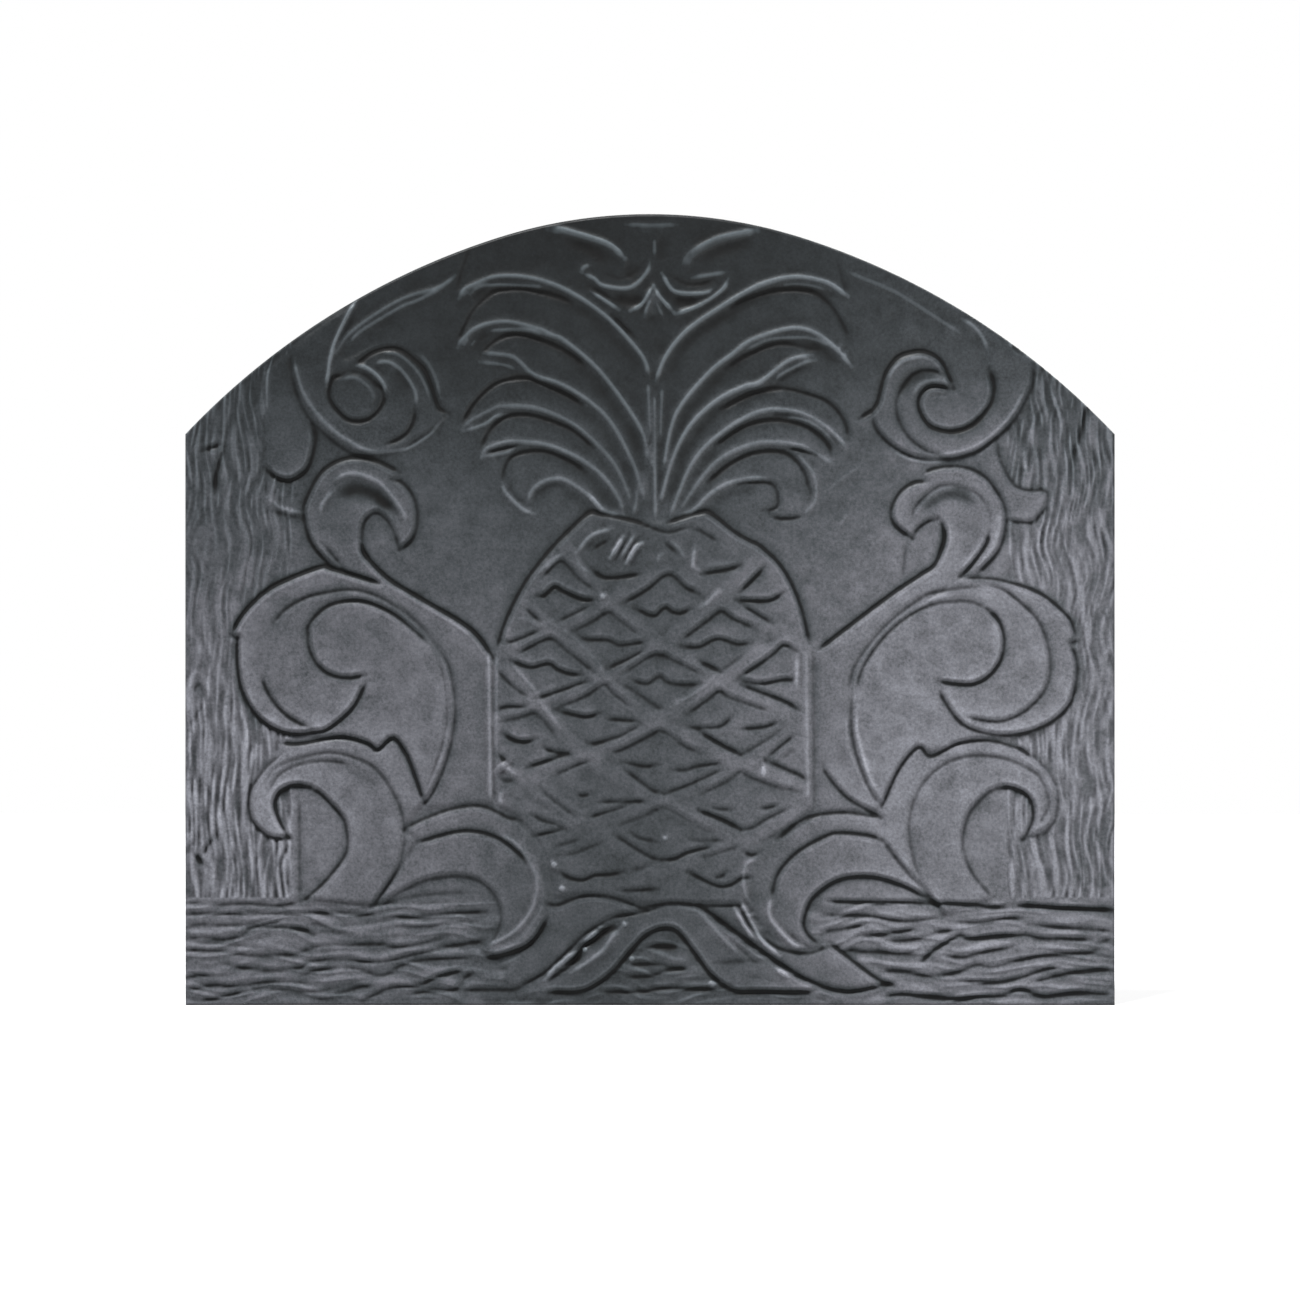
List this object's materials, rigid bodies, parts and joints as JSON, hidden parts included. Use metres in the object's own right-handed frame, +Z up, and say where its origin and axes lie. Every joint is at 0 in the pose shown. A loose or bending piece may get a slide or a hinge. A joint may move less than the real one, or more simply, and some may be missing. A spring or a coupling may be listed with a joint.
{
  "type": "fireback",
  "caption": "Arched cast-iron fireback plate with a pineapple and scrolling leaves in low relief on its front, held upright by bolted legs at its back.",
  "frame": {"origin": "middle of the whole object's footprint, at the level of the hearth it stands on", "axes": "+Z up, -Y out of the decorated front of the plate, +X along the plate's width to the right of a person who looks at the front"},
  "size_m": [0.508, 0.1342, 0.4325],
  "materials": {
    "plate_iron": "satin black, as cast",
    "leg_iron": "matt black, as cast",
    "fastener_steel": "dull zinc plate"
  },
  "bodies": {
    "root": {"fireback_plate": "plate_iron", "left_leg": "leg_iron", "right_leg": "leg_iron", "left_outer_washer": "fastener_steel", "left_outer_lock_washer": "fastener_steel", "left_outer_bolt": "fastener_steel", "left_inner_washer": "fastener_steel", "left_inner_lock_washer": "fastener_steel", "left_inner_bolt": "fastener_steel", "right_outer_washer": "fastener_steel", "right_outer_lock_washer": "fastener_steel", "right_outer_bolt": "fastener_steel", "right_inner_washer": "fastener_steel", "right_inner_lock_washer": "fastener_steel", "right_inner_bolt": "fastener_steel"}
  },
  "joints": []
}
